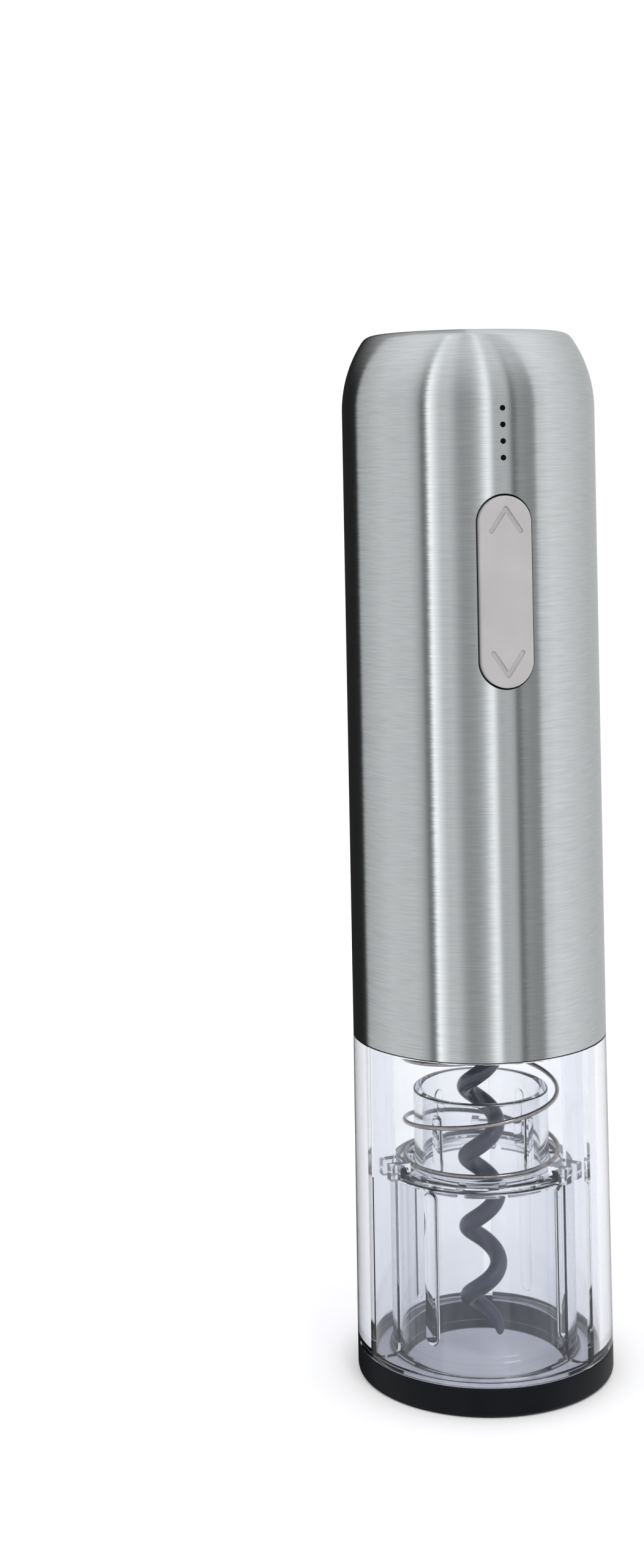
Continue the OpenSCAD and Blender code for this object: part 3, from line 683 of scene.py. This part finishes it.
COLLAR_R = 12.2 * MM
COLLAR_IN = 10.7 * MM
COLLAR_TOP = top_of("cork_sleeve")
FLANGE_Z = NECK_TUBE_TOP + 0.15 * MM
FLANGE_TOP = FLANGE_Z + 0.9 * MM
FLANGE_R = 16.8 * MM
SKIRT_R = 14.4 * MM
SKIRT_LOW = FLANGE_Z - 1.6 * MM
LUG_R = 18.9 * MM
NOTCH_COUNT = 12
NOTCH_W = 1.4 * MM
GRIP_ANGLES = [-58 + 90 * i for i in range(4)]
GRIP_W = 2.6 * MM
GRIP_TOP = 47.8 * MM


def sleeve_lug(angle):
    """Fork that straddles a rail."""
    wide, gap = 5.8 * MM, 2.6 * MM
    low, high = FLANGE_Z + 0.1 * MM, FLANGE_Z + 2.9 * MM
    inner, slot_in = FLANGE_R - 1.4 * MM, RAIL_R - 0.35 * MM
    outline = [(-wide / 2, -inner), (-wide / 2, -LUG_R), (-gap / 2, -LUG_R), (-gap / 2, -slot_in),
               (gap / 2, -slot_in), (gap / 2, -LUG_R), (wide / 2, -LUG_R), (wide / 2, -inner)]
    lug = slab("lug", [(x, y, low) for x, y in outline], [(x, y, high) for x, y in outline])
    return at_azimuth(lug, angle)


SKIRT_IN = SKIRT_R - 1.6 * MM
sleeve_profile = rounded([
    (COLLAR_IN, FLANGE_Z, 0.2 * MM), (SKIRT_IN, FLANGE_Z, 0), (SKIRT_IN, SKIRT_LOW, 0.2 * MM),
    (SKIRT_R, SKIRT_LOW, 0.25 * MM), (SKIRT_R, FLANGE_Z, 0), (FLANGE_R, FLANGE_Z, 0.25 * MM),
    (FLANGE_R, FLANGE_TOP, 0.25 * MM), (COLLAR_R, FLANGE_TOP, 0.2 * MM), (COLLAR_R, COLLAR_TOP, 0.3 * MM),
    (COLLAR_IN, COLLAR_TOP, 0.3 * MM)], 5)
sleeve = lathe("cork_sleeve_skin", sleeve_profile, 192)
notch_outline = [
    (-NOTCH_W / 2, SKIRT_LOW - MM), (NOTCH_W / 2, SKIRT_LOW - MM),
    (NOTCH_W / 2, FLANGE_Z - 0.1 * MM), (-NOTCH_W / 2, FLANGE_Z - 0.1 * MM)]
for notch in range(NOTCH_COUNT):
    cutter = prism("notch", notch_outline, -SKIRT_R - 0.5 * MM, -SKIRT_R + 2.1 * MM)
    combine(sleeve, at_azimuth(cutter, 360 / NOTCH_COUNT * notch), "DIFFERENCE")
for rail_angle in RAIL_ANGLES:
    combine(sleeve, sleeve_lug(rail_angle), "UNION")
for grip_angle in GRIP_ANGLES:
    rib = round_rib(GRIP_W, FLANGE_Z + 0.3 * MM, GRIP_TOP, COLLAR_IN - 0.5 * MM, COLLAR_IN + 1.2 * MM)
    combine(sleeve, at_azimuth(rib, grip_angle), "UNION")
tidy(sleeve, 28)
true_normals(sleeve, radial_rule)
stand_for(sleeve, "carriage", "cork_sleeve")


# ---------------------------------------------------------------- worm and spring

def clamp01(x):
    return np.clip(x, 0, 1)


def worm_skin():
    """Round wire wound about the axis, pointed at its tip and straight in the holder."""
    tip, shank, shank_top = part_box("worm")[0].z, 95 * MM, top_of("worm")
    coil_r, wire_r, tip_r, pitch = 2.75 * MM, 1.55 * MM, 0.15 * MM, 12.6 * MM
    z = np.append(np.linspace(tip, shank, 470), [shank + 3 * MM, shank_top])
    angle = np.radians(164.8) + 2 * np.pi * (z - 25.2 * MM) / pitch
    x = clamp01((shank - z) / (8 * MM))
    swing = coil_r * x * x * (3 - 2 * x)
    t = clamp01((z - tip) / (5.5 * MM))
    radii = tip_r + (wire_r - tip_r) * np.sqrt(t * (2 - t))
    points = np.stack([swing * np.cos(angle), swing * np.sin(angle), z], 1)
    spokes = np.stack([np.cos(angle), np.sin(angle), 0 * z], 1)
    return sweep("worm_skin", points, radii, spokes, 28)


stand_for(worm_skin(), "worm_drive", "worm")

SPRING_WIRE = 0.8 * MM
SPRING_R = 13.9 * MM
SPRING_END = 72 * MM


def spring_skin():
    """Spring with closed turns at its ends and open turns between."""
    low, high = FLANGE_TOP + SPRING_WIRE / 2, SPRING_END - SPRING_WIRE / 2
    closed_low, open_turns, closed_high, ramp_turns, pitch = 0.7, 2.8, 1.3, 0.5, 0.85 * MM
    turns = closed_low + open_turns + ramp_turns + closed_high
    t = np.linspace(0, turns, 480)

    def ramp_part(start):
        x = clamp01((t - start) / ramp_turns)
        return x * x / 2 * ramp_turns + np.maximum(0, t - start - ramp_turns)

    share = ramp_part(closed_low) - ramp_part(closed_low + open_turns)
    z = low + pitch * t + (high - low - pitch * turns) * share / share[-1]
    angle = np.radians(355) + 2 * np.pi * t
    points = np.stack([SPRING_R * np.cos(angle), SPRING_R * np.sin(angle), z], 1)
    spokes = np.stack([np.cos(angle), np.sin(angle), 0 * z], 1)
    return sweep("return_spring_skin", points, np.full(len(z), SPRING_WIRE / 2), spokes, 14)


spring = stand_for(spring_skin(), "housing", "return_spring")
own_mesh(spring)


# ---------------------------------------------------------------- stage, lights, camera

VIEW_AZIMUTH = 15.2
VIEW_ROLL = -1.08
EYE = Vector((-102.3, -377.1, 164.8)) * MM
AIM = Vector((0.1925, 0.981, 0.0))


def towards(azimuth_deg, distance, height):
    """Point at an azimuth from the camera's side of the opener, + is to the camera's right."""
    a = math.radians(azimuth_deg - VIEW_AZIMUTH)
    return Vector((distance * math.sin(a), -distance * math.cos(a), height))


def floor():
    size = 9.0
    steps = 24
    grid = [(-size + 2 * size * i / steps, -size + 2 * size * j / steps, 0) for j in range(steps + 1)
            for i in range(steps + 1)]
    row = steps + 1
    faces = [(j * row + i, j * row + i + 1, (j + 1) * row + i + 1, (j + 1) * row + i)
             for j in range(steps) for i in range(steps)]
    obj = mesh_object("floor", grid, faces)
    obj.data.materials.append(plain_floor())
    obj.visible_glossy = False


def softbox(name, azimuth, distance, height, width, tall, power):
    data = bpy.data.lights.new(name, "AREA")
    data.shape, data.size, data.size_y = "RECTANGLE", width, tall
    data.energy = power
    obj = bpy.data.objects.new(name, data)
    bpy.context.scene.collection.objects.link(obj)
    obj.location = towards(azimuth, distance, height)
    obj.rotation_euler = (Vector((0, 0, 0.09)) - obj.location).to_track_quat("-Z", "Y").to_euler()
    obj.visible_camera = False
    return obj


# What the steel mirrors, by azimuth: soft panels, flags between them, and a dark mass behind to the left
PANELS = [
    (-180, 0.02), (-123, 0.02), (-119, 0.55), (-84, 0.76), (-56, 0.72), (-50, 0.62), (-46, 0.48),
    (-42, 0.12), (-38.5, 0.14), (-36, 1.9), (-33, 1.25), (-26, 0.70), (-18, 0.72), (-8, 0.38),
    (2, 0.42), (9, 0.60), (17, 1.4), (20, 1.1), (22, 0.55), (32, 0.62), (37, 0.58), (40, 0.09),
    (46, 0.40), (53, 0.34), (61, 0.30), (64, 0.80), (78, 0.92), (100, 0.81), (130, 0.65),
    (160, 0.58), (180, 0.58)]
OVERHEAD = 1.7
MIRRORED_OVERHEAD = 1.2
BACKDROP = 1.05


def surroundings():
    """Studio round the object. The camera, directly or nearly straight through clear parts, sees white."""
    world = bpy.data.worlds.new("studio")
    bpy.context.scene.world = world
    world.use_nodes = True
    nodes, links = world.node_tree.nodes, world.node_tree.links
    coord = add(nodes, "ShaderNodeTexCoord")
    turned = add(nodes, "ShaderNodeMapping", {"Rotation": (0, 0, math.radians(VIEW_AZIMUTH))})
    links.new(coord.outputs["Generated"], turned.inputs["Vector"])
    split = add(nodes, "ShaderNodeSeparateXYZ")
    links.new(turned.outputs["Vector"], split.inputs[0])
    behind = add(nodes, "ShaderNodeMath", {1: -1.0}, operation="MULTIPLY")
    links.new(split.outputs["Y"], behind.inputs[0])
    azimuth = add(nodes, "ShaderNodeMath", operation="ARCTAN2")
    links.new(split.outputs["X"], azimuth.inputs[0])
    links.new(behind.outputs[0], azimuth.inputs[1])
    around = add(nodes, "ShaderNodeMapRange", {"From Min": -math.pi, "From Max": math.pi})
    links.new(azimuth.outputs[0], around.inputs["Value"])
    peak = 2.0
    panels = ramp(nodes, links, around.outputs["Result"],
                  [((a + 180) / 360, (v / peak, v / peak, v / peak)) for a, v in PANELS])
    height = add(nodes, "ShaderNodeMapRange", {"From Min": 0.35, "From Max": 0.75, "To Max": 1.0},
                 interpolation_type="SMOOTHSTEP")
    links.new(split.outputs["Z"], height.inputs["Value"])
    sky = add(nodes, "ShaderNodeMix", {7: (OVERHEAD / peak,) * 3 + (1,)}, data_type="RGBA")
    links.new(height.outputs["Result"], sky.inputs["Factor"])
    links.new(panels, sky.inputs[6])
    path = add(nodes, "ShaderNodeLightPath")
    haze = add(nodes, "ShaderNodeMapRange", {"From Min": 0.15, "From Max": 0.9, "To Max": 0.45},
               interpolation_type="SMOOTHSTEP")
    links.new(split.outputs["Z"], haze.inputs["Value"])
    mirrored_sky = add(nodes, "ShaderNodeMix", {7: (MIRRORED_OVERHEAD / peak,) * 3 + (1,)}, data_type="RGBA")
    links.new(haze.outputs["Result"], mirrored_sky.inputs["Factor"])
    links.new(panels, mirrored_sky.inputs[6])
    by_ray = add(nodes, "ShaderNodeMix", data_type="RGBA")
    links.new(path.outputs["Is Glossy Ray"], by_ray.inputs["Factor"])
    links.new(sky.outputs[2], by_ray.inputs[6])
    links.new(mirrored_sky.outputs[2], by_ray.inputs[7])
    studio = nodes["Background"]
    studio.inputs["Strength"].default_value = peak
    links.new(by_ray.outputs[2], studio.inputs["Color"])
    backdrop = add(nodes, "ShaderNodeBackground", {"Color": (1, 1, 1, 1), "Strength": BACKDROP})
    offset = add(nodes, "ShaderNodeMath", {1: 0.07}, operation="SUBTRACT")
    links.new(split.outputs["X"], offset.inputs[0])
    sideways = add(nodes, "ShaderNodeMath", operation="ABSOLUTE")
    links.new(offset.outputs[0], sideways.inputs[0])
    straight = add(nodes, "ShaderNodeMapRange", {
        "From Min": 0.11, "From Max": 0.19, "To Min": 1.0, "To Max": 0.35}, interpolation_type="SMOOTHSTEP")
    links.new(sideways.outputs[0], straight.inputs["Value"])
    through = add(nodes, "ShaderNodeMath", operation="MULTIPLY")
    links.new(path.outputs["Is Transmission Ray"], through.inputs[0])
    links.new(straight.outputs["Result"], through.inputs[1])
    seen = add(nodes, "ShaderNodeMath", operation="MAXIMUM")
    links.new(path.outputs["Is Camera Ray"], seen.inputs[0])
    links.new(through.outputs[0], seen.inputs[1])
    chosen = add(nodes, "ShaderNodeMixShader")
    links.new(seen.outputs[0], chosen.inputs["Fac"])
    links.new(studio.outputs["Background"], chosen.inputs[1])
    links.new(backdrop.outputs["Background"], chosen.inputs[2])
    links.new(chosen.outputs["Shader"], nodes["World Output"].inputs["Surface"])


def camera():
    data = bpy.data.cameras.new("camera")
    data.lens, data.sensor_width, data.sensor_fit = 49.18, 36, "AUTO"
    data.shift_x, data.shift_y = 0.0039, -0.207
    data.clip_start, data.clip_end = 0.01, 50
    obj = bpy.data.objects.new("camera", data)
    bpy.context.scene.collection.objects.link(obj)
    obj.location = EYE
    level = AIM.to_track_quat("-Z", "Y").to_matrix().to_4x4()
    obj.matrix_world = Matrix.Translation(EYE) @ level @ Matrix.Rotation(math.radians(VIEW_ROLL), 4, "Z")
    bpy.context.scene.camera = obj


floor()
surroundings()
softbox("key", 35, 1.1, 1.0, 0.4, 0.4, 4).visible_glossy = False
camera()
bpy.context.scene.view_settings.view_transform = "Standard"
